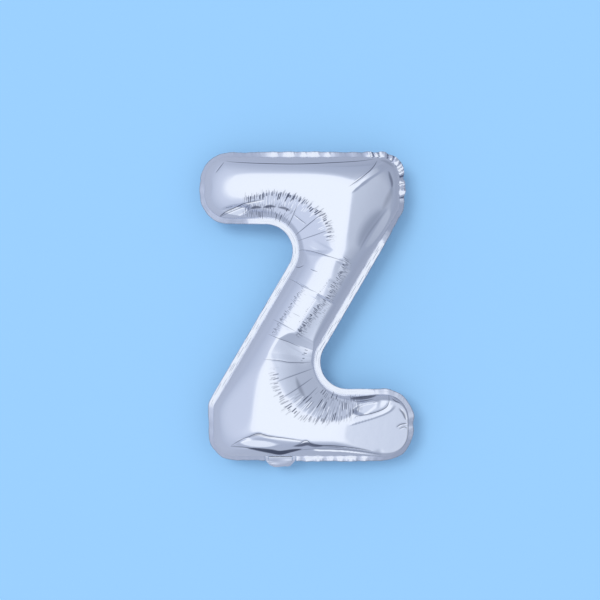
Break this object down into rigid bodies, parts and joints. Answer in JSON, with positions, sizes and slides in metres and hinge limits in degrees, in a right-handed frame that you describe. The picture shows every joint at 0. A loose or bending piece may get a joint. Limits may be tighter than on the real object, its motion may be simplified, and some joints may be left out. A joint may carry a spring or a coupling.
{
  "type": "letter foil balloon",
  "caption": "Air-filled balloon of silver film in the shape of the letter Z: two swollen panels welded round a flat margin, with a filling neck under the lower stroke.",
  "frame": {"origin": "middle of the balloon's box, on the surface that it lies on", "axes": "+X to the letter's right, +Y to its top, +Z out of its face, up from the surface"},
  "size_m": [0.2364, 0.3482, 0.0781],
  "materials": {
    "silver_film": "metallised film, bright, with fine pleats along the weld",
    "welded_film": "two plies of metallised film welded flat, lightly crinkled",
    "neck_film": "metallised film, laid flat and folded under",
    "valve_film": "clear film, slightly milky"
  },
  "bodies": {
    "root": {"front_panel": "silver_film", "back_panel": "silver_film", "welded_margin": "welded_film", "neck_front_film": "neck_film", "neck_back_film": "neck_film", "valve_front_film": "valve_film", "valve_back_film": "valve_film", "neck_weld_left": "welded_film", "neck_weld_right": "welded_film"}
  },
  "joints": []
}
